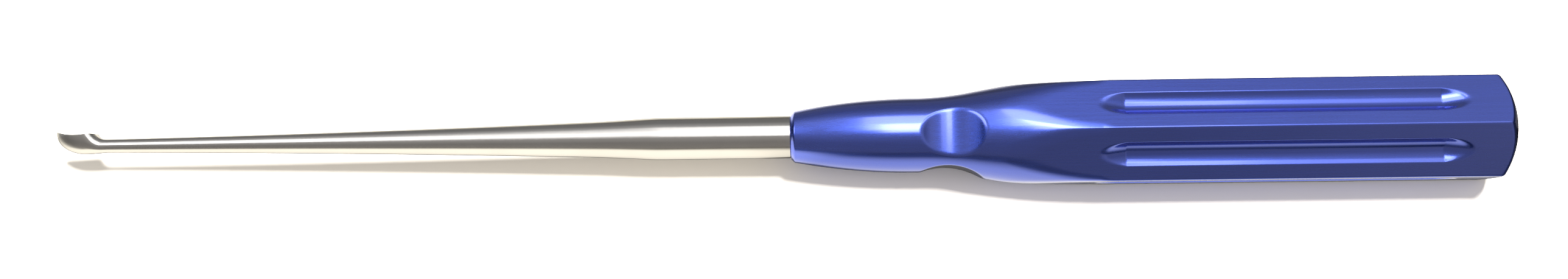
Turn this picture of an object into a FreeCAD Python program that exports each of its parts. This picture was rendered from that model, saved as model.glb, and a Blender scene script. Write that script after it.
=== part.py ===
"""Cervical curette: a fluted hexagonal handle and a tapering shaft that ends in a small open cup.

Everything is in millimetres. The model is drawn about the tool's long axis, which is X, with the
handle's front face at X = 0, the handle towards +X and the cup towards -X. It is then moved so that the
origin is the middle of its length, on the surface that the handle's lower flat rests on.
Directions around the axis are angles from -Y towards +Z, so 90 degrees points straight up.
"""
import FreeCAD, Part
import math
import os

Vec = FreeCAD.Vector
X_AXIS = Vec(1, 0, 0)

# Handle bar
bar_across_flats = 15.875
bar_corner_round = 0.3
handle_length = 113.4
dome_radius = 14.6

# Turned front of the handle
nose_ledge = 0.62
nose_chamfer = 0.4
barrel_length = 19.4
barrel_radius = 5.92
neck_arc_radius = 50.0
flare_flank_length = 3.3
flare_angle = 10.0
flare_runout_angle = 3.0
flare_overrun = 0.05

# Finger recesses
recess_centre = 24.5
recess_depth = 0.87
recess_arc_radius = 9.7
recess_directions = (60, -30, -120)

# Flutes, one in each flat
flat_directions = (90, 30, -30, -90, -150, 150)
flute_depth = 1.1
flute_arc_radius = 2.4
flute_ramp_length = 3.8
flute_front_margin = 0.1
flute_rear_margin = 5.7

# Shaft and its tang
shaft_radius = 3.38
shaft_cylinder_length = 21.5
shaft_shoulder_length = 8.5
shaft_waist_radius = 2.92
shaft_end_radius = 1.1
shaft_taper_length = 80.6
shaft_taper_sag = 0.2
shaft_seat_chamfer = 0.15
tang_radius = 2.5
tang_length = 28.0
tang_chamfer = 0.6
bond_gap = 0.02
bore_end_gap = 1.0
drill_point_angle = 118.0

# Cup at the tip, drawn with its opening towards +Z and then turned about the axis
cup_opening_direction = 150.0
neck_length = 3.8
bowl_half_length = 4.85
bowl_half_width = 1.95
bowl_half_height = 3.3
bowl_rise = 2.0
rim_front_height = 2.33
rim_low_height = 1.76
rim_heel_height = 1.97
rim_low_setback = 3.5
rim_heel_setback = 5.8
cup_wall = 0.35
hollow_front_length = 3.9
hollow_rear_length = 2.3
neck_station_count = 7
neck_width_power = 1.2
neck_rise_power = 2.0

# Sizes that follow from the ones above
bar_corner_radius = bar_across_flats / math.sqrt(3)
bar_half = bar_across_flats / 2
bar_reach = bar_corner_radius - bar_corner_round * (1 / math.cos(math.pi / 6) - 1)
nose_radius = shaft_radius + nose_ledge
taper_end = -(shaft_cylinder_length + shaft_shoulder_length + shaft_taper_length)
bowl_centre = taper_end - neck_length
tip = bowl_centre - bowl_half_length


def line(start, end):
    return Part.makeLine(start, end)


def arc(start, middle, end):
    return Part.Arc(start, middle, end).toShape()


def profile_point(x, radius):
    return Vec(x, 0, radius)


def radial(angle):
    """Unit vector that points outwards at an angle around the axis."""
    return Vec(0, -math.cos(math.radians(angle)), math.sin(math.radians(angle)))


def tangential(angle):
    """Unit vector around the axis at an angle."""
    return Vec(0, math.sin(math.radians(angle)), math.cos(math.radians(angle)))


def sloped_arc(start, end, middle_slope_angle, half_turn):
    """Arc in the profile plane between two points, bulging outwards for a positive half turn in radians."""
    chord = end - start
    across = Vec(-math.sin(middle_slope_angle), 0, math.cos(middle_slope_angle))
    bulge = chord.Length / 2 * math.tan(half_turn / 2)
    return arc(start, (start + end) / 2 + across * bulge, end)


def revolve(edges):
    """Solid made by turning a closed profile about the tool's axis."""
    face = Part.Face(Part.Wire(Part.__sortEdges__(edges)))
    return face.revolve(Vec(0, 0, 0), X_AXIS, 360)


def rounded_hexagon(x):
    """Hexagonal face across the axis, lying on a flat, with its corners rounded."""
    centre_distance = bar_corner_radius - bar_corner_round / math.cos(math.pi / 6)
    corners = []
    for direction in flat_directions:
        vertex = direction - 30
        centre = Vec(x, 0, 0) + radial(vertex) * centre_distance
        first = centre + radial(vertex + 30) * bar_corner_round
        middle = centre + radial(vertex) * bar_corner_round
        last = centre + radial(vertex - 30) * bar_corner_round
        corners.append((first, middle, last))
    edges = []
    for number, (first, middle, last) in enumerate(corners):
        edges.append(arc(first, middle, last))
        edges.append(line(last, corners[(number + 1) % len(corners)][0]))
    return Part.Face(Part.Wire(edges))


def handle_profile():
    """Outline that the bar is turned to: nose, barrel, neck, flare, then clear of the bar up to the dome."""
    turn = math.radians(flare_angle)
    runout = math.radians(flare_runout_angle)
    outer = bar_reach + flare_overrun
    # nose chamfer and barrel, whose arc is level where the neck starts
    barrel_top = profile_point(barrel_length, barrel_radius)
    sag = barrel_radius - nose_radius
    barrel_arc_radius = (barrel_length ** 2 + sag ** 2) / (2 * sag)

    def barrel_at(x):
        drop = barrel_arc_radius - math.sqrt(barrel_arc_radius ** 2 - (barrel_length - x) ** 2)
        return profile_point(x, barrel_radius - drop)

    nose_end = barrel_at(nose_chamfer)
    nose_face = profile_point(0, nose_end.z - nose_chamfer)
    # the neck arc turns up to the flare angle, a straight flank follows, and the flare arc turns back
    neck_end = barrel_top + Vec(neck_arc_radius * math.sin(turn), 0, neck_arc_radius * (1 - math.cos(turn)))
    flank_end = neck_end + Vec(math.cos(turn), 0, math.sin(turn)) * flare_flank_length
    flare_length = (outer - flank_end.z) / math.tan((turn + runout) / 2)
    flare_end = profile_point(flank_end.x + flare_length, outer)
    # dome
    dome_centre = handle_length - dome_radius
    dome_start = profile_point(dome_centre + math.sqrt(dome_radius ** 2 - outer ** 2), outer)
    half = math.asin(outer / dome_radius) / 2
    dome_middle = profile_point(dome_centre + dome_radius * math.cos(half), dome_radius * math.sin(half))
    apex = profile_point(handle_length, 0)
    edges = [
        line(profile_point(0, 0), nose_face),
        line(nose_face, nose_end),
        arc(nose_end, barrel_at((nose_chamfer + barrel_length) / 2), barrel_top),
        sloped_arc(barrel_top, neck_end, turn / 2, -turn / 2),
        line(neck_end, flank_end),
        sloped_arc(flank_end, flare_end, (turn + runout) / 2, (turn - runout) / 2),
        line(flare_end, dome_start),
        arc(dome_start, dome_middle, apex),
        line(apex, profile_point(0, 0)),
    ]
    corner_end = dome_centre + math.sqrt(dome_radius ** 2 - bar_reach ** 2)
    return edges, flare_end.x, corner_end


def flute_cutter(direction, front, rear):
    """Round-bottomed groove along a flat, with its floor ramping up to the surface at both ends."""
    out = radial(direction)
    axis_distance = bar_half - flute_depth + flute_arc_radius
    ramp_front = front + flute_ramp_length
    ramp_rear = rear - flute_ramp_length
    # each ramp climbs past the surface, so the groove ends where its floor comes out
    climb = out * flute_depth * 2
    run = X_AXIS * flute_ramp_length * 2
    circle = Part.Circle(Vec(ramp_front, 0, 0) + out * axis_distance, X_AXIS, flute_arc_radius)
    disc = Part.Face(Part.Wire(circle.toShape()))
    middle = disc.extrude(X_AXIS * (ramp_rear - ramp_front))
    front_ramp = disc.extrude(climb - run)
    disc.translate(X_AXIS * (ramp_rear - ramp_front))
    rear_ramp = disc.extrude(climb + run)
    return [middle, front_ramp, rear_ramp]


def recess_cutter(direction):
    """Cylinder across the neck that mills one finger recess."""
    out = radial(direction)
    across = tangential(direction)
    axis_distance = barrel_radius - recess_depth + recess_arc_radius
    centre = Vec(recess_centre, 0, 0) + out * axis_distance
    length = bar_across_flats * 2
    return Part.makeCylinder(recess_arc_radius, length, centre - across * length / 2, across)


def bore_cutter():
    """Blind hole for the tang, with the cone that a drill leaves."""
    radius = tang_radius + bond_gap
    depth = tang_length + bore_end_gap
    point = radius / math.tan(math.radians(drill_point_angle / 2))
    edges = [
        line(profile_point(-1, 0), profile_point(-1, radius)),
        line(profile_point(-1, radius), profile_point(depth, radius)),
        line(profile_point(depth, radius), profile_point(depth + point, 0)),
        line(profile_point(depth + point, 0), profile_point(-1, 0)),
    ]
    return revolve(edges)


def make_handle():
    edges, flare_end, corner_end = handle_profile()
    bar = rounded_hexagon(-1).extrude(X_AXIS * (handle_length + 2))
    handle = bar.common(revolve(edges))
    cutters = [recess_cutter(direction) for direction in recess_directions]
    for direction in flat_directions:
        cutters += flute_cutter(direction, flare_end + flute_front_margin, corner_end - flute_rear_margin)
    cutters.append(bore_cutter())
    return handle.cut(cutters)


def make_shaft_body():
    """Turned part of the shaft: tang, shoulder, cylinder, and the long taper to the cup's neck."""
    cylinder_end = profile_point(-shaft_cylinder_length, shaft_radius)
    waist = profile_point(cylinder_end.x - shaft_shoulder_length, shaft_waist_radius)
    end = profile_point(taper_end, shaft_end_radius)
    taper_middle = (waist + end) / 2 - Vec(0, 0, shaft_taper_sag)
    seat_inner = profile_point(0, shaft_radius - shaft_seat_chamfer)
    seat_outer = profile_point(-shaft_seat_chamfer, shaft_radius)
    tang_root = profile_point(0, tang_radius)
    tang_corner = profile_point(tang_length - tang_chamfer, tang_radius)
    tang_end = profile_point(tang_length, tang_radius - tang_chamfer)
    tang_axis = profile_point(tang_length, 0)
    end_axis = profile_point(taper_end, 0)
    edges = [
        line(tang_axis, tang_end),
        line(tang_end, tang_corner),
        line(tang_corner, tang_root),
        line(tang_root, seat_inner),
        line(seat_inner, seat_outer),
        line(seat_outer, cylinder_end),
        line(cylinder_end, waist),
        arc(waist, taper_middle, end),
        line(end, end_axis),
        line(end_axis, tang_axis),
    ]
    return revolve(edges)


def half_ellipsoid(x, height, half_sizes, forward):
    """Front or rear half of an ellipsoid centred on the cup's plane of symmetry."""
    half_length, half_width, half_height = half_sizes
    ball = Part.makeSphere(1, Vec(0, 0, 0), X_AXIS)
    side = -1 if forward else 0
    half = ball.common(Part.makeBox(1, 4, 4, Vec(side, -2, -2)))
    stretch = FreeCAD.Matrix()
    stretch.scale(half_length, half_width, half_height)
    half = half.transformGeometry(stretch)
    half.translate(Vec(x, 0, height))
    return half


def ellipse_wire(x, bottom, top, half_width):
    """Upright elliptical section across the axis."""
    half_height = (top - bottom) / 2
    centre = Vec(x, 0, (top + bottom) / 2)
    if half_height >= half_width:
        ellipse = Part.Ellipse(centre + Vec(0, 0, half_height), centre + Vec(0, half_width, 0), centre)
    else:
        ellipse = Part.Ellipse(centre + Vec(0, half_width, 0), centre + Vec(0, 0, half_height), centre)
    return Part.Wire(ellipse.toShape())


def ease(share):
    """Smooth step that starts and ends level."""
    return share ** 2 * (3 - 2 * share)


def neck_section(share):
    """Elliptical section of the neck, from the shaft at 0 to the bowl's widest section at 1."""
    x = taper_end + share * (bowl_centre - taper_end)
    radius = shaft_end_radius
    bottom = -radius - (bowl_half_height - bowl_rise - radius) * ease(share)
    half_width = radius + (bowl_half_width - radius) * ease(share ** neck_width_power)
    top = radius + (bowl_half_height + bowl_rise - radius) * ease(share ** neck_rise_power)
    return ellipse_wire(x, bottom, top, half_width)


def rim_cutter():
    """Everything above the rim, which dips between the front point and the heel."""
    reach = bowl_half_width * 2
    front = Vec(tip, -reach, rim_front_height)
    low = Vec(tip + rim_low_setback, -reach, rim_low_height)
    heel = Vec(tip + rim_heel_setback, -reach, rim_heel_height)
    above_front = front + Vec(-1, 0, 0)
    high = bowl_rise + bowl_half_height
    rear = Vec(taper_end, -reach, rim_heel_height)
    edges = [
        line(above_front, front),
        arc(front, low, heel),
        line(heel, rear),
        line(rear, Vec(rear.x, -reach, high)),
        line(Vec(rear.x, -reach, high), Vec(above_front.x, -reach, high)),
        line(Vec(above_front.x, -reach, high), above_front),
    ]
    return Part.Face(Part.Wire(edges)).extrude(Vec(0, 2 * reach, 0))


def make_cup():
    """Spoon-shaped cup, with its opening towards +Z."""
    nose = half_ellipsoid(bowl_centre, bowl_rise, (bowl_half_length, bowl_half_width, bowl_half_height), True)
    last = neck_station_count - 1
    neck = Part.makeLoft([neck_section(number / last) for number in range(neck_station_count)], True, False)
    body = nose.fuse(neck)
    body = body.cut(rim_cutter())
    hollow_centre = tip + cup_wall + hollow_front_length
    half_width = bowl_half_width - cup_wall
    half_height = bowl_half_height - cup_wall
    for forward, length in ((True, hollow_front_length), (False, hollow_rear_length)):
        body = body.cut(half_ellipsoid(hollow_centre, bowl_rise, (length, half_width, half_height), forward))
    return body


def place(shape):
    """Move a shape from the tool's axis to the resting frame."""
    middle_x = (tip + handle_length) / 2
    shape.translate(Vec(-middle_x, 0, bar_half))
    return shape


def make_shaft():
    """The turned shaft and its cup, in one piece."""
    cup = make_cup()
    cup.rotate(Vec(0, 0, 0), X_AXIS, 90 - cup_opening_direction)
    return make_shaft_body().fuse(cup)


def main():
    os.makedirs("parts", exist_ok=True)
    for name, shape in (("handle", make_handle()), ("shaft", make_shaft())):
        place(shape)
        shape.exportStep("parts/" + name + ".step")
        print(name, "valid:", shape.isValid(), "solids:", len(shape.Solids), "mm3:", round(shape.Volume, 1))


main()
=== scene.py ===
"""Cervical curette: a blue anodised handle with flutes, and a tapering steel shaft with a small open cup.

Shapes are worked out in millimetres along the tool's own axis, X, with the handle's front face at X = 0.
They are then put in metres where the solids are. Angles around the axis start at -Y and turn towards +Z.
"""
import bpy
import bmesh
import math
import numpy as np
from mathutils import Matrix, Vector


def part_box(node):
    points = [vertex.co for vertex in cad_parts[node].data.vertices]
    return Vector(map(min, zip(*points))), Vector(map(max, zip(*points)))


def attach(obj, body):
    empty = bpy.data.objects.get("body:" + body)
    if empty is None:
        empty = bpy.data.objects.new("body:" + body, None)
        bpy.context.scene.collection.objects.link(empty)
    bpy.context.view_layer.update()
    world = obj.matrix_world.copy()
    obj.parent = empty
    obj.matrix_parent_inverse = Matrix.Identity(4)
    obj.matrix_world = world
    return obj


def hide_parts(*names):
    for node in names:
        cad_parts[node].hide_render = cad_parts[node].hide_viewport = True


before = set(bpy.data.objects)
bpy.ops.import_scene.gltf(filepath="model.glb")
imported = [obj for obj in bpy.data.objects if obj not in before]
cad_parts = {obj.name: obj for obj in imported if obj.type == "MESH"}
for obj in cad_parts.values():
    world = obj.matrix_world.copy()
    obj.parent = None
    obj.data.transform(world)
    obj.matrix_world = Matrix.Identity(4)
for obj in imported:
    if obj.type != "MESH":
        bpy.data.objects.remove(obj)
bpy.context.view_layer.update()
MM = 0.001

# Places read from the solids
handle_low, handle_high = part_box("handle")
shaft_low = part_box("shaft")[0]
FRONT_FACE = handle_low.x / MM
AXIS_HEIGHT = handle_high.z / MM / 2
HANDLE_LENGTH = (handle_high.x - handle_low.x) / MM
ACROSS_FLATS = (handle_high.z - handle_low.z) / MM
TIP = shaft_low.x / MM - FRONT_FACE

# Handle bar
CORNER_ROUND = 0.3
DOME_RADIUS = 14.6
FLATS = (90, 30, -30, -90, -150, 150)

# Turned front of the handle
NOSE_LEDGE = 0.62
NOSE_CHAMFER = 0.4
NOSE_ZONE = 2
BARREL_LENGTH = 19.4
BARREL_RADIUS = 5.92
NECK_ARC_RADIUS = 50.0
FLANK_LENGTH = 3.3
FLARE_ANGLE = math.radians(10)
FLARE_RUNOUT_ANGLE = math.radians(3)
FLARE_OVERRUN = 0.05

# Finger recesses and flutes
RECESS_CENTRE = 24.5
RECESS_DEPTH = 0.87
RECESS_ARC_RADIUS = 9.7
RECESSES = (60, -30, -120)
LEAST_COSINE = 0.2
FLUTE_DEPTH = 1.1
FLUTE_ARC_RADIUS = 2.4
FLUTE_RAMP = 3.8
FLUTE_FRONT_MARGIN = 0.1
FLUTE_REAR_MARGIN = 5.7

# Over how much height the surfaces run into each other
ARCH_BLEND = 0.5
RECESS_BLEND = 0.2
FLUTE_BLEND = 0.22
DOME_BLEND = 0.5
NOSE_BLEND = 0.08
SHOULDER_BLEND = 0.06
TAPER_BLEND = 0.05

# Shaft, tang and bore
SHAFT_RADIUS = 3.38
CYLINDER_LENGTH = 21.5
SHOULDER_LENGTH = 8.5
WAIST_RADIUS = 2.92
END_RADIUS = 1.1
TAPER_LENGTH = 80.6
TAPER_SAG = 0.2
SHOULDER_EASE = 2.5
SEAT_CHAMFER = 0.15
TANG_RADIUS = 2.5
TANG_LENGTH = 28.0
TANG_CHAMFER = 0.6
BOND_GAP = 0.02
BORE_END_GAP = 1.0
DRILL_HALF_ANGLE = math.radians(59)

# Cup, drawn with its opening towards +Z and then turned about the axis
CUP_OPENING = 150
NECK_LENGTH = 3.8
BOWL_HALF_LENGTH = 4.85
BOWL_HALF_WIDTH = 1.95
BOWL_HALF_HEIGHT = 3.3
BOWL_RISE = 2.0
RIM_FRONT, RIM_LOW, RIM_HEEL = 2.33, 1.76, 1.97
RIM_LOW_SETBACK = 3.5
RIM_HEEL_SETBACK = 5.8
CUP_WALL = 0.35
HOLLOW_FRONT = 3.9
HOLLOW_REAR = 2.3
NECK_WIDTH_POWER = 1.2
NECK_RISE_POWER = 2.0

# How finely the meshes are divided, and how far the fine stretches reach past what they show
CROWDING_SAMPLES = 4001
SECTOR_STEPS = 54
STATION_COUNTS = (11, 26, 62, 70, 36, 12, 36, 6)
RECESS_BEFORE, RECESS_AFTER = 5, 6
RAMP_MARGIN = 0.6
FLOOR_MARGIN = 0.4
DOME_MARGIN = 0.5
DOME_STEPS = 34
DOME_RIM_SHARE = 0.8
SHAFT_STEPS = 128
CYLINDER_COUNT, SHOULDER_COUNT, TAPER_COUNT, CUP_COUNT = 6, 50, 60, 49
SHOULDER_BEFORE, SHOULDER_AFTER = 2, 4
RIM_COUNT = 40
HOLLOW_STEPS, HOLLOW_COUNT = 96, 81
CUTTER_MARGIN = 1

# Camera, fitted to the photograph, which is 2576 pixels wide
PHOTO_WIDTH = 2576
FOCAL_PIXELS = 2572
SENSOR_WIDTH = 36
CAMERA_PLACE = Vector((9.697, -143.346, 213.146)) * MM
CAMERA_YAW = math.radians(3.18)
CAMERA_PITCH = math.radians(55.11)
CAMERA_ROLL = math.radians(-3.37)

# Table, in metres. It rises towards the tip, as the shadow there shows.
TABLE_HALF = 3.0
TABLE_RISE = 0.0025
RISE_TOP, RISE_FOOT = -0.19, 0.02
TABLE_COLOUR = (0.92, 0.86, 0.775, 1)

# Painted reflection: a glowing sheet of light, no lamp, that the metal mirrors in the table's place. Each
# grade says where it starts and ends, in metres along the tool or aside from it, and the values before and
# after.
SHEET_COLOUR = (1, 0.955, 0.83, 1)
SHEET_SPREAD = (-0.01, 0.006, 0.55, 1.0)
SHEET_FADE = (0.018, 0.045, 1.2, 0.12)
SHEET_GAIN = (-0.003, 0.006, 1.45, 1.0)
SHEET_END = (0.114, 0.122, 1.0, 0.1)
# Painted shade: a narrow strip right under the tool where the painted reflection goes dark, for the tool's
# shadow
SHADE_STRIP_HALF_WIDTH = (-0.003, 0.006, 0.001, 0.0045)
SHADE_STRIP_WIDENING = (0.04, 0.05, 0.0, 0.0007)
SHADE_STRIP_BORDER = (0.04, 0.05, 0.0015, 0.0003)
SHADE_STRIP_LEVEL = 0.1

# World that the metal mirrors: greys from the horizon in front (0), over the top, to the one behind (1),
# warmer in front, and grades along the sideways part of the direction
ROOM = ((0.0, 0.27), (0.18, 0.27), (0.3, 0.38), (0.64, 0.66), (0.71, 0.46), (0.82, 0.24), (1.0, 0.22))
ROOM_WARMTH = 0.12
WARMTH_END = 0.6
ROOM_ENDS = (0.55, 0.85, 1.0, 0.12)
ROOM_RIGHT = (0.25, 0.5, 0.0, 1.0)
FRONT_RIGHT_LIFT = 0.85
TABLE_LIGHT = 0.67

# Lamps: name, centre in metres, size along X and Y, glow, and whether the metal mirrors it. One that isn't
# mirrored lights the table alone.
LAMPS = (
    ("panel", (0.024, 0.045, 0.4), (0.122, 0.33), 2.9, True),
    ("front_panel", (0.025, -0.086, 0.39), (0.07, 0.19), 5.2, True),
    ("side_panel", (0.098, -0.086, 0.39), (0.076, 0.19), 1.9, True),
    ("left_panel", (-0.38, 0.011, 0.4), (0.34, 0.237), 3.2, True),
    ("right_panel", (0.152, 0.06, 0.4), (0.05, 0.22), 2.8, True),
    ("far_panel", (0.24, 0.06, 0.4), (0.12, 0.22), 0.7, True),
    ("key", (0.72, 0.06, 3.0), (0.27, 1.1), 340.0, False),
)

# Sizes that follow from the ones above
BAR_HALF = ACROSS_FLATS / 2
CORNER_RADIUS = ACROSS_FLATS / math.sqrt(3)
CORNER_CENTRE = CORNER_RADIUS - CORNER_ROUND / math.cos(math.pi / 6)
BAR_REACH = CORNER_CENTRE + CORNER_ROUND
DOME_CENTRE = HANDLE_LENGTH - DOME_RADIUS
CORNER_END = DOME_CENTRE + math.sqrt(DOME_RADIUS ** 2 - BAR_REACH ** 2)
NOSE_RADIUS = SHAFT_RADIUS + NOSE_LEDGE
NECK_END = BARREL_LENGTH + NECK_ARC_RADIUS * math.sin(FLARE_ANGLE)
NECK_END_RADIUS = BARREL_RADIUS + NECK_ARC_RADIUS * (1 - math.cos(FLARE_ANGLE))
FLANK_END = NECK_END + FLANK_LENGTH * math.cos(FLARE_ANGLE)
FLANK_END_RADIUS = NECK_END_RADIUS + FLANK_LENGTH * math.sin(FLARE_ANGLE)
FLARE_CLIMB = BAR_REACH + FLARE_OVERRUN - FLANK_END_RADIUS
FLARE_LENGTH = FLARE_CLIMB / math.tan((FLARE_ANGLE + FLARE_RUNOUT_ANGLE) / 2)
FLARE_END = FLANK_END + FLARE_LENGTH
FLUTE_START = FLARE_END + FLUTE_FRONT_MARGIN
FLUTE_END = CORNER_END - FLUTE_REAR_MARGIN
TAPER_START = -(CYLINDER_LENGTH + SHOULDER_LENGTH)
TAPER_END = TAPER_START - TAPER_LENGTH
BOWL_CENTRE = TAPER_END - NECK_LENGTH


def smooth_min(first, second, blend):
    """The lower of two heights, with the corner between them eased over a band."""
    share = np.clip(0.5 + 0.5 * (second - first) / blend, 0, 1)
    return second + (first - second) * share - blend * share * (1 - share)


def bar_surface(angle):
    """Distance from the axis to the hexagonal bar, whose corners are rounded."""
    off_flat = np.abs(angle % 60 - 30)
    off_corner = np.radians(30 - off_flat)
    flat = BAR_HALF / np.cos(np.radians(off_flat))
    inside = np.maximum(CORNER_ROUND ** 2 - (CORNER_CENTRE * np.sin(off_corner)) ** 2, 0)
    corner = CORNER_CENTRE * np.cos(off_corner) + np.sqrt(inside)
    touch = math.atan2(CORNER_ROUND * 0.5, CORNER_CENTRE + CORNER_ROUND * math.cos(math.pi / 6))
    return np.where(off_corner < touch, corner, flat)


def turned_surface(x):
    """Radius of the turned front: nose, barrel, neck, flank, flare, and then clear of the bar."""
    sag = BARREL_RADIUS - NOSE_RADIUS
    barrel_arc = (BARREL_LENGTH ** 2 + sag ** 2) / (2 * sag)
    behind = np.maximum(BARREL_LENGTH - x, 0)
    barrel = BARREL_RADIUS - barrel_arc + np.sqrt(barrel_arc ** 2 - behind ** 2)
    along_neck = np.clip(x - BARREL_LENGTH, 0, NECK_END - BARREL_LENGTH)
    neck = NECK_ARC_RADIUS - np.sqrt(NECK_ARC_RADIUS ** 2 - along_neck ** 2)
    flank = np.clip(x - NECK_END, 0, FLANK_END - NECK_END) * math.tan(FLARE_ANGLE)
    flare_arc = FLARE_LENGTH / (math.sin(FLARE_ANGLE) - math.sin(FLARE_RUNOUT_ANGLE))
    sine = math.sin(FLARE_ANGLE) - np.clip(x - FLANK_END, 0, FLARE_LENGTH) / flare_arc
    flare = flare_arc * (np.sqrt(1 - sine ** 2) - math.cos(FLARE_ANGLE))
    beyond = np.maximum(x - FLARE_END, 0) * math.tan(FLARE_ANGLE)
    return barrel + neck + flank + flare + beyond


def nose_surface(x):
    """Chamfer at the handle's front face."""
    return NOSE_RADIUS - NOSE_CHAMFER + x


def recess_surface(x, angle, direction):
    """Finger recess milled across the neck by a cylinder, and clear of the handle's other sides."""
    off = np.radians((angle - direction + 180) % 360 - 180)
    along = np.minimum(np.abs(x - RECESS_CENTRE), RECESS_ARC_RADIUS)
    climb = RECESS_ARC_RADIUS - np.sqrt(RECESS_ARC_RADIUS ** 2 - along ** 2)
    floor = BARREL_RADIUS - RECESS_DEPTH + climb
    return floor / np.maximum(np.cos(off), LEAST_COSINE)


def flute_surface(x, angle):
    """Round-bottomed flute along each flat, with a ramp at both ends."""
    off = np.radians(angle % 60 - 30)
    past_end = np.maximum(FLUTE_START + FLUTE_RAMP - x, x - FLUTE_END + FLUTE_RAMP)
    centre = BAR_HALF - FLUTE_DEPTH + FLUTE_ARC_RADIUS
    centre = centre + np.maximum(past_end, 0) * FLUTE_DEPTH / FLUTE_RAMP
    inside = FLUTE_ARC_RADIUS ** 2 - (centre * np.sin(off)) ** 2
    floor = centre * np.cos(off) - np.sqrt(np.maximum(inside, 0))
    return np.where(inside > 0, floor, CORNER_RADIUS * 2)


def dome_surface(x):
    """Sphere that the far end is turned to."""
    return np.sqrt(np.maximum(DOME_RADIUS ** 2 - (x - DOME_CENTRE) ** 2, 0))


def handle_surface(x, angle):
    """Distance from the axis to the finished handle."""
    surface = smooth_min(bar_surface(angle), turned_surface(x), ARCH_BLEND)
    surface = smooth_min(surface, nose_surface(x), NOSE_BLEND) if x < NOSE_ZONE else surface
    for direction in RECESSES:
        surface = smooth_min(surface, recess_surface(x, angle, direction), RECESS_BLEND)
    surface = smooth_min(surface, flute_surface(x, angle), FLUTE_BLEND)
    return smooth_min(surface, dome_surface(x), DOME_BLEND) if x > DOME_CENTRE else surface


def crowded(low, high, count, centres, width, crowding):
    """Places from low to high that crowd around some centres."""
    fine = np.linspace(low, high, CROWDING_SAMPLES)
    density = np.ones_like(fine)
    for centre in centres:
        density += crowding * np.exp(-((fine - centre) / width) ** 2)
    total = np.concatenate(([0], np.cumsum((density[1:] + density[:-1]) / 2)))
    return np.interp(np.linspace(0, total[-1], count + 1), total, fine)


def handle_angles():
    """Angles around the bar, close together at its corners and at the flutes' edges."""
    half_width = math.sqrt(FLUTE_ARC_RADIUS ** 2 - (FLUTE_ARC_RADIUS - FLUTE_DEPTH) ** 2)
    edge = math.degrees(math.atan2(half_width, BAR_HALF))
    sector = crowded(-30, 30, SECTOR_STEPS, (-30, -edge, edge, 30), width=1.6, crowding=2.5)[:-1]
    return np.concatenate([sector + flat for flat in sorted(FLATS)])


def handle_stations():
    """Places along the handle, close together where the surface turns."""
    dome_start = CORNER_END - DOME_MARGIN
    ends = (
        0,
        NOSE_CHAMFER * 2,
        RECESS_CENTRE - RECESS_BEFORE,
        RECESS_CENTRE + RECESS_AFTER,
        FLUTE_START - RAMP_MARGIN,
        FLUTE_START + FLUTE_RAMP + FLOOR_MARGIN,
        FLUTE_END - FLUTE_RAMP - FLOOR_MARGIN,
        FLUTE_END + RAMP_MARGIN,
        dome_start,
    )
    parts = [np.linspace(low, high, count) for low, high, count in zip(ends, ends[1:], STATION_COUNTS)]
    last_turn = np.arccos((dome_start - DOME_CENTRE) / DOME_RADIUS)
    rim = last_turn * DOME_RIM_SHARE
    turns = crowded(0, last_turn, DOME_STEPS, (rim,), width=last_turn * 0.15, crowding=3)[::-1]
    parts.append(DOME_CENTRE + DOME_RADIUS * np.cos(turns))
    return np.unique(np.round(np.concatenate(parts), 6))


def around(x, radii, angles):
    """Ring of points around the axis, in millimetres."""
    turns = np.radians(angles)
    return np.stack([np.full(len(angles), float(x)), -radii * np.cos(turns), radii * np.sin(turns)], axis=1)


def handle_rings():
    """Rings from the far end of the bore, out of the front face, and along the outside to the dome."""
    angles = handle_angles()
    even = np.ones(len(angles))
    bore = TANG_RADIUS + BOND_GAP
    depth = TANG_LENGTH + BORE_END_GAP
    rings = [around(depth, even * bore, angles), around(0, even * bore, angles)]
    for x in handle_stations()[:-1]:
        rings.append(around(x, handle_surface(x, angles) * even, angles))
    bore_point = (depth + bore / math.tan(DRILL_HALF_ANGLE), 0, 0)
    return rings, bore_point, (HANDLE_LENGTH, 0, 0)


def mesh_from_rings(name, rings, first_point, last_point):
    """Closed mesh over equal rings, with a point at each end."""
    steps = len(rings[0])
    points = np.concatenate([*rings, [first_point], [last_point]])
    first, last = len(points) - 2, len(points) - 1
    faces = []
    for number in range(len(rings) - 1):
        low, high = number * steps, (number + 1) * steps
        for step in range(steps):
            after = (step + 1) % steps
            faces.append((low + step, low + after, high + after, high + step))
    end = (len(rings) - 1) * steps
    for step in range(steps):
        after = (step + 1) % steps
        faces.append((first, after, step))
        faces.append((last, end + step, end + after))
    mesh = bpy.data.meshes.new(name)
    mesh.from_pydata(points.tolist(), [], faces)
    finish_normals(mesh)
    return mesh


def finish_normals(mesh):
    """Make the faces point outwards."""
    shape = bmesh.new()
    shape.from_mesh(mesh)
    bmesh.ops.recalc_face_normals(shape, faces=shape.faces)
    shape.to_mesh(mesh)
    shape.free()


def shaft_radius(x):
    """Radius of the turned shaft, whose shoulder runs gently into its neighbours."""
    cone = SHAFT_RADIUS + (x + CYLINDER_LENGTH) * (SHAFT_RADIUS - WAIST_RADIUS) / SHOULDER_LENGTH
    share = (TAPER_START - x) / TAPER_LENGTH
    taper = WAIST_RADIUS + (END_RADIUS - WAIST_RADIUS) * share - 4 * TAPER_SAG * share * (1 - share)
    body = smooth_min(np.float64(SHAFT_RADIUS), cone, SHOULDER_BLEND)
    lean_in = -smooth_min(-body, -taper, TAPER_BLEND)
    return lean_in if x < TAPER_START + SHOULDER_EASE else body


def ease(share):
    """Smooth step that starts and ends level."""
    return share ** 2 * (3 - 2 * share)


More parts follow.
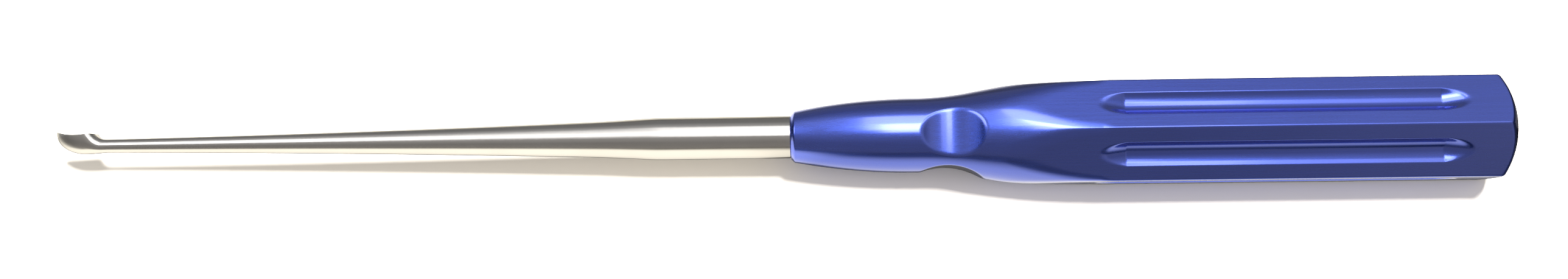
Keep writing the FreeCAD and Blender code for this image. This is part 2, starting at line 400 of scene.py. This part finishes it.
def cup_section(x):
    """Middle height, half width and half height of the cup's outside across the axis."""
    if x < BOWL_CENTRE:
        scale = math.sqrt(max(1 - ((BOWL_CENTRE - x) / BOWL_HALF_LENGTH) ** 2, 0))
        return BOWL_RISE, BOWL_HALF_WIDTH * scale, BOWL_HALF_HEIGHT * scale
    share = (TAPER_END - x) / NECK_LENGTH
    bottom = -END_RADIUS - (BOWL_HALF_HEIGHT - BOWL_RISE - END_RADIUS) * ease(share)
    top = END_RADIUS + (BOWL_HALF_HEIGHT + BOWL_RISE - END_RADIUS) * ease(share ** NECK_RISE_POWER)
    half_width = END_RADIUS + (BOWL_HALF_WIDTH - END_RADIUS) * ease(share ** NECK_WIDTH_POWER)
    return (top + bottom) / 2, half_width, (top - bottom) / 2


def shaft_rings():
    """Rings from the tang, over the seat and down the taper, to the cup's front point."""
    angles = np.linspace(0, 360, SHAFT_STEPS, endpoint=False)
    even = np.ones(SHAFT_STEPS)
    turned = [
        (TANG_LENGTH, TANG_RADIUS - TANG_CHAMFER),
        (TANG_LENGTH - TANG_CHAMFER, TANG_RADIUS),
        (0, TANG_RADIUS),
        (0, SHAFT_RADIUS - SEAT_CHAMFER),
        (-SEAT_CHAMFER, SHAFT_RADIUS),
    ]
    shoulder_from, shoulder_to = -CYLINDER_LENGTH + SHOULDER_BEFORE, TAPER_START - SHOULDER_AFTER
    cylinder = np.linspace(-SEAT_CHAMFER * 2, shoulder_from, CYLINDER_COUNT)
    shoulder = np.linspace(shoulder_from, shoulder_to, SHOULDER_COUNT)[1:]
    taper = np.linspace(shoulder_to, TAPER_END, TAPER_COUNT)[1:]
    for x in np.concatenate([cylinder, shoulder, taper]):
        turned.append((x, float(shaft_radius(x))))
    rings = [around(x, even * radius, angles) for x, radius in turned]
    neck = np.linspace(TAPER_END, BOWL_CENTRE, CUP_COUNT)[1:]
    bowl = BOWL_CENTRE - BOWL_HALF_LENGTH * np.sin(np.linspace(0, math.pi / 2, CUP_COUNT))[1:-1]
    turns = np.radians(angles)
    for x in np.concatenate([neck, bowl]):
        middle, half_width, half_height = cup_section(x)
        across, up = -half_width * np.cos(turns), middle + half_height * np.sin(turns)
        rings.append(np.stack([np.full(SHAFT_STEPS, x), across, up], axis=1))
    return rings, (TANG_LENGTH, 0, 0), (BOWL_CENTRE - BOWL_HALF_LENGTH, 0, BOWL_RISE)


def rim_height(x):
    """Height of the cup's rim: an arc through the front point, the low point and the heel."""
    first = Vector((0, RIM_FRONT))
    second = Vector((RIM_LOW_SETBACK, RIM_LOW))
    third = Vector((RIM_HEEL_SETBACK, RIM_HEEL))
    matrix = Matrix(((second.x - first.x, second.y - first.y), (third.x - first.x, third.y - first.y)))
    sides = Vector((
        (second.length_squared - first.length_squared) / 2,
        (third.length_squared - first.length_squared) / 2,
    ))
    centre = matrix.inverted() @ sides
    radius = (first - centre).length
    off = min(max(x - TIP, 0), RIM_HEEL_SETBACK) - centre.x
    return centre.y - math.sqrt(radius ** 2 - off ** 2)


def rim_cutter():
    """Block above the rim."""
    ahead, behind = TIP - CUTTER_MARGIN, TAPER_END
    places = [ahead, *np.linspace(TIP, TIP + RIM_HEEL_SETBACK, RIM_COUNT), behind]
    reach, high = BOWL_HALF_WIDTH * 2, BOWL_RISE + BOWL_HALF_HEIGHT + CUTTER_MARGIN
    rings = []
    for x in places:
        low = rim_height(x)
        rings.append(np.array([(x, -reach, low), (x, reach, low), (x, reach, high), (x, -reach, high)]))
    first = (ahead, 0, (rim_height(ahead) + high) / 2)
    last = (behind, 0, (rim_height(behind) + high) / 2)
    return mesh_from_rings("rim_cutter", rings, first, last)


def hollow_cutter():
    """Egg-shaped hollow of the cup, longer towards the front."""
    centre = TIP + CUP_WALL + HOLLOW_FRONT
    turns = np.radians(np.linspace(0, 360, HOLLOW_STEPS, endpoint=False))
    rings = []
    for lean in np.linspace(-math.pi / 2, math.pi / 2, HOLLOW_COUNT)[1:-1]:
        length = HOLLOW_REAR if lean > 0 else HOLLOW_FRONT
        across = -(BOWL_HALF_WIDTH - CUP_WALL) * math.cos(lean) * np.cos(turns)
        up = BOWL_RISE + (BOWL_HALF_HEIGHT - CUP_WALL) * math.cos(lean) * np.sin(turns)
        along = np.full(HOLLOW_STEPS, centre + length * math.sin(lean))
        rings.append(np.stack([along, across, up], axis=1))
    first, last = (centre - HOLLOW_FRONT, 0, BOWL_RISE), (centre + HOLLOW_REAR, 0, BOWL_RISE)
    return mesh_from_rings("hollow_cutter", rings, first, last)


def cut(mesh, cutters):
    """The mesh with each cutter taken away."""
    scratch = bpy.data.objects.new("scratch", mesh)
    bpy.context.scene.collection.objects.link(scratch)
    knives = []
    for cutter in cutters:
        knife = bpy.data.objects.new("knife", cutter)
        bpy.context.scene.collection.objects.link(knife)
        modifier = scratch.modifiers.new("cut", "BOOLEAN")
        modifier.operation = "DIFFERENCE"
        modifier.solver = "EXACT"
        modifier.object = knife
        knives.append(knife)
    bpy.context.view_layer.update()
    finished = scratch.evaluated_get(bpy.context.evaluated_depsgraph_get())
    shaped = bpy.data.meshes.new_from_object(finished)
    for leftover in [scratch, *knives]:
        bpy.data.objects.remove(leftover)
    return shaped


def place(mesh, name, node, material, turn, sharp_angle):
    """Put a mesh drawn about the tool's axis where its solid is, and let it stand for that solid."""
    to_frame = Matrix.Scale(MM, 4) @ Matrix.Translation((FRONT_FACE, 0, AXIS_HEIGHT))
    mesh.transform(to_frame @ Matrix.Rotation(math.radians(turn), 4, "X"))
    mesh.polygons.foreach_set("use_smooth", [True] * len(mesh.polygons))
    mesh.set_sharp_from_angle(angle=math.radians(sharp_angle))
    mesh.materials.clear()
    mesh.materials.append(material)
    piece = bpy.data.objects.new(name, mesh)
    bpy.context.scene.collection.objects.link(piece)
    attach(piece, "root")
    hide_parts(node)


class Nodes:
    """Short way to add and join shader nodes."""

    def __init__(self, tree):
        self.tree = tree
        tree.nodes.clear()

    def add(self, kind, inputs=(), **settings):
        """New node, with its settings made and its inputs set or joined."""
        node = self.tree.nodes.new(kind)
        for key, value in settings.items():
            setattr(node, key, value)
        for key, value in dict(inputs).items():
            if isinstance(value, bpy.types.NodeSocket):
                self.tree.links.new(value, node.inputs[key])
            else:
                node.inputs[key].default_value = value
        return node

    def calculate(self, operation, *values):
        """Result of one operation on its values."""
        return self.add("ShaderNodeMath", enumerate(values), operation=operation).outputs[0]

    def graded(self, value, grade):
        """Number that changes evenly over a grade: start, end, and what it is before and after."""
        start, end, before, after = grade
        return self.add("ShaderNodeMapRange", {
            "Value": value, "From Min": start, "From Max": end, "To Min": before, "To Max": after,
        }).outputs[0]


def new_material(name):
    """Empty material and its nodes."""
    material = bpy.data.materials.new(name)
    material.use_nodes = True
    return material, Nodes(material.node_tree)


def anodised_blue():
    """Satin anodised aluminium: tinted metal under a thin clear oxide, with fine marks along its length."""
    material, nodes = new_material("anodised_blue")
    place_on = nodes.add("ShaderNodeTexCoord").outputs["Object"]
    along = nodes.add("ShaderNodeMapping", {"Vector": place_on, "Scale": (60, 2400, 2400)})
    marks = nodes.add("ShaderNodeTexNoise", {"Vector": along.outputs[0], "Scale": 1.0, "Detail": 3.0})
    cloud = nodes.add("ShaderNodeTexNoise", {"Vector": place_on, "Scale": 90.0, "Detail": 2.0})
    colour = nodes.add("ShaderNodeMix", {
        "Factor": cloud.outputs["Fac"], "A": (0.047, 0.100, 0.62, 1), "B": (0.060, 0.120, 0.72, 1),
    }, data_type="RGBA")
    rough = nodes.graded(marks.outputs["Fac"], (0.3, 0.7, 0.24, 0.30))
    bump = nodes.add("ShaderNodeBump", {
        "Height": marks.outputs["Fac"], "Strength": 0.04, "Distance": 0.00002,
    })
    shader = nodes.add("ShaderNodeBsdfPrincipled", {
        "Base Color": colour.outputs[2], "Metallic": 1.0, "Roughness": rough,
        "Coat Weight": 1.0, "Coat Roughness": 0.13, "Coat IOR": 1.85,
        "Normal": bump.outputs[0],
    })
    nodes.add("ShaderNodeOutputMaterial", {"Surface": shader.outputs[0]})
    return material


def satin_steel():
    """Stainless steel polished around, which draws its sheen out, with a very faint grain in rings."""
    material, nodes = new_material("satin_steel")
    place_on = nodes.add("ShaderNodeTexCoord").outputs["Object"]
    rings = nodes.add("ShaderNodeMapping", {"Vector": place_on, "Scale": (9000, 250, 250)})
    marks = nodes.add("ShaderNodeTexNoise", {"Vector": rings.outputs[0], "Scale": 1.0, "Detail": 2.0})
    cloud = nodes.add("ShaderNodeTexNoise", {"Vector": place_on, "Scale": 150.0, "Detail": 3.0})
    colour = nodes.add("ShaderNodeMix", {
        "Factor": cloud.outputs["Fac"], "A": (0.60, 0.58, 0.56, 1), "B": (0.66, 0.64, 0.62, 1),
    }, data_type="RGBA")
    rough = nodes.graded(marks.outputs["Fac"], (0.3, 0.7, 0.255, 0.265))
    around_axis = nodes.add("ShaderNodeTangent", direction_type="RADIAL", axis="X")
    shader = nodes.add("ShaderNodeBsdfPrincipled", {
        "Base Color": colour.outputs[2], "Metallic": 1.0, "Roughness": rough,
        "Specular Tint": (0.6, 0.6, 0.6, 1), "Anisotropic": 0.9, "Anisotropic Rotation": 0.25,
        "Tangent": around_axis.outputs[0],
    })
    nodes.add("ShaderNodeOutputMaterial", {"Surface": shader.outputs[0]})
    return material


def white_floor():
    """Matt cream-white table, and the sheet of light that the metal mirrors in its place.

    This sheet is a painted reflection that glows though it is no lamp. It fades away from the tool, is
    brighter under the shaft and dark beyond the handle's end. Right under the tool a narrow strip of painted
    shade lies in it, where the tool's shadow falls on the table.
    """
    material, nodes = new_material("white_floor")
    spot = nodes.add("ShaderNodeSeparateXYZ", {0: nodes.add("ShaderNodeTexCoord").outputs["Object"]})
    along = spot.outputs["X"]
    aside = nodes.calculate("ABSOLUTE", spot.outputs["Y"])
    far = nodes.calculate("MULTIPLY", aside, nodes.graded(along, SHEET_SPREAD))
    painted_reflection = nodes.calculate("MULTIPLY", nodes.graded(far, SHEET_FADE), nodes.graded(along, SHEET_GAIN))
    # Painted shade: in a strip right under the tool, where its shadow lies, the reflection drops to a tenth
    half_width = nodes.graded(along, SHADE_STRIP_HALF_WIDTH)
    half_width = nodes.calculate("ADD", half_width, nodes.graded(along, SHADE_STRIP_WIDENING))
    clear = nodes.calculate("SUBTRACT", aside, half_width)
    painted_shade = nodes.graded(clear, (0.0, nodes.graded(along, SHADE_STRIP_BORDER), SHADE_STRIP_LEVEL, 1.0))
    painted_reflection = nodes.calculate("MULTIPLY", painted_reflection, painted_shade)
    painted_reflection = nodes.calculate("MULTIPLY", painted_reflection, nodes.graded(along, SHEET_END))
    # Painted reflection: glossy rays see this glowing sheet instead of the lit table
    mirrored = nodes.add("ShaderNodeEmission", {"Color": SHEET_COLOUR, "Strength": painted_reflection})
    matt = nodes.add("ShaderNodeBsdfDiffuse", {"Color": TABLE_COLOUR})
    path = nodes.add("ShaderNodeLightPath")
    both = nodes.add("ShaderNodeMixShader", {
        0: path.outputs["Is Glossy Ray"], 1: matt.outputs[0], 2: mirrored.outputs[0],
    })
    nodes.add("ShaderNodeOutputMaterial", {"Surface": both.outputs[0]})
    return material


def make_floor():
    """Table top, which rises a little towards the tip."""
    line = ((-TABLE_HALF, TABLE_RISE), (RISE_TOP, TABLE_RISE), (RISE_FOOT, 0.0), (TABLE_HALF, 0.0))
    points = [(x, y, height) for x, height in line for y in (-TABLE_HALF, TABLE_HALF)]
    mesh = bpy.data.meshes.new("floor")
    mesh.from_pydata(points, [], [(k, k + 2, k + 3, k + 1) for k in (0, 2, 4)])
    mesh.materials.append(white_floor())
    floor = bpy.data.objects.new("floor", mesh)
    bpy.context.scene.collection.objects.link(floor)


def make_world():
    """Room that the metal mirrors, soft light for the table, and white for the camera.

    The room is darker towards both ends of the tool and brighter at the front right. The light for the table
    comes mostly from the front.
    """
    world = bpy.data.worlds.new("room")
    bpy.context.scene.world = world
    world.use_nodes = True
    nodes = Nodes(world.node_tree)
    towards = nodes.add("ShaderNodeSeparateXYZ", {0: nodes.add("ShaderNodeTexCoord").outputs["Generated"]})
    rightwards = towards.outputs["X"]
    forwards = nodes.calculate("MULTIPLY", towards.outputs["Y"], -1.0)
    turn = nodes.calculate("ARCTAN2", towards.outputs["Z"], forwards)
    ramp = nodes.add("ShaderNodeValToRGB", {"Fac": nodes.calculate("DIVIDE", turn, math.pi)})
    stops = ramp.color_ramp.elements
    for number, (at, grey) in enumerate(ROOM):
        stop = stops[number] if number < 2 else stops.new(at)
        stop.position = at
        warmth = 1 - ROOM_WARMTH * max(WARMTH_END - at, 0) / WARMTH_END
        stop.color = (grey, grey * (0.5 + warmth / 2), grey * warmth, 1)
    ahead = nodes.calculate("MAXIMUM", forwards, 0.0)
    front_right = nodes.calculate("MULTIPLY", nodes.graded(rightwards, ROOM_RIGHT), ahead)
    lift = nodes.calculate("MULTIPLY_ADD", front_right, FRONT_RIGHT_LIFT, 1.0)
    ends = nodes.graded(nodes.calculate("ABSOLUTE", rightwards), ROOM_ENDS)
    level = nodes.calculate("MULTIPLY", lift, ends)
    room = nodes.add("ShaderNodeVectorMath", {0: ramp.outputs[0], "Scale": level}, operation="SCALE")
    for_table = nodes.calculate("ADD", forwards, TABLE_LIGHT)
    path = nodes.add("ShaderNodeLightPath")
    around_tool = nodes.add("ShaderNodeMix", {
        "Factor": path.outputs["Is Diffuse Ray"], "A": room.outputs[0], "B": for_table,
    }, data_type="RGBA")
    colour = nodes.add("ShaderNodeMix", {
        "Factor": path.outputs["Is Camera Ray"], "A": around_tool.outputs[2], "B": (1, 1, 1, 1),
    }, data_type="RGBA")
    light = nodes.add("ShaderNodeBackground", {"Color": colour.outputs[2], "Strength": 1.0})
    nodes.add("ShaderNodeOutputWorld", {"Surface": light.outputs[0]})


def make_lamp(name, centre, size, glow, mirrored):
    """Flat lamp above the table that faces straight down: seen in the metal, or else lighting the table."""
    lamp = bpy.data.lights.new(name, "AREA")
    lamp.shape = "RECTANGLE"
    lamp.size, lamp.size_y = size
    lamp.energy = glow * math.pi * size[0] * size[1]
    holder = bpy.data.objects.new(name, lamp)
    holder.location = centre
    holder.visible_glossy, holder.visible_diffuse = mirrored, not mirrored
    bpy.context.scene.collection.objects.link(holder)


def make_camera():
    """Camera where the photograph was taken from."""
    back = Vector((
        math.sin(CAMERA_YAW) * math.cos(CAMERA_PITCH),
        -math.cos(CAMERA_YAW) * math.cos(CAMERA_PITCH),
        math.sin(CAMERA_PITCH),
    ))
    level = Vector((0, 0, 1)).cross(back).normalized()
    upright = back.cross(level)
    right = level * math.cos(CAMERA_ROLL) + upright * math.sin(CAMERA_ROLL)
    up = back.cross(right)
    lens = bpy.data.cameras.new("camera")
    lens.sensor_width = SENSOR_WIDTH
    lens.lens = FOCAL_PIXELS / PHOTO_WIDTH * SENSOR_WIDTH
    lens.clip_start, lens.clip_end = 0.01, 20
    camera = bpy.data.objects.new("camera", lens)
    turned = Matrix((right, up, back)).transposed().to_4x4()
    camera.matrix_world = Matrix.Translation(CAMERA_PLACE) @ turned
    bpy.context.scene.collection.objects.link(camera)
    bpy.context.scene.camera = camera


handle_mesh = mesh_from_rings("fluted_handle", *handle_rings())
place(handle_mesh, "fluted_handle", "handle", anodised_blue(), turn=0, sharp_angle=40)
shaft_mesh = cut(mesh_from_rings("tapered_shaft", *shaft_rings()), [rim_cutter(), hollow_cutter()])
place(shaft_mesh, "tapered_shaft", "shaft", satin_steel(), turn=90 - CUP_OPENING, sharp_angle=30)
make_floor()
make_world()
for lamp_row in LAMPS:
    make_lamp(*lamp_row)
make_camera()
bpy.context.scene.view_settings.view_transform = "Standard"
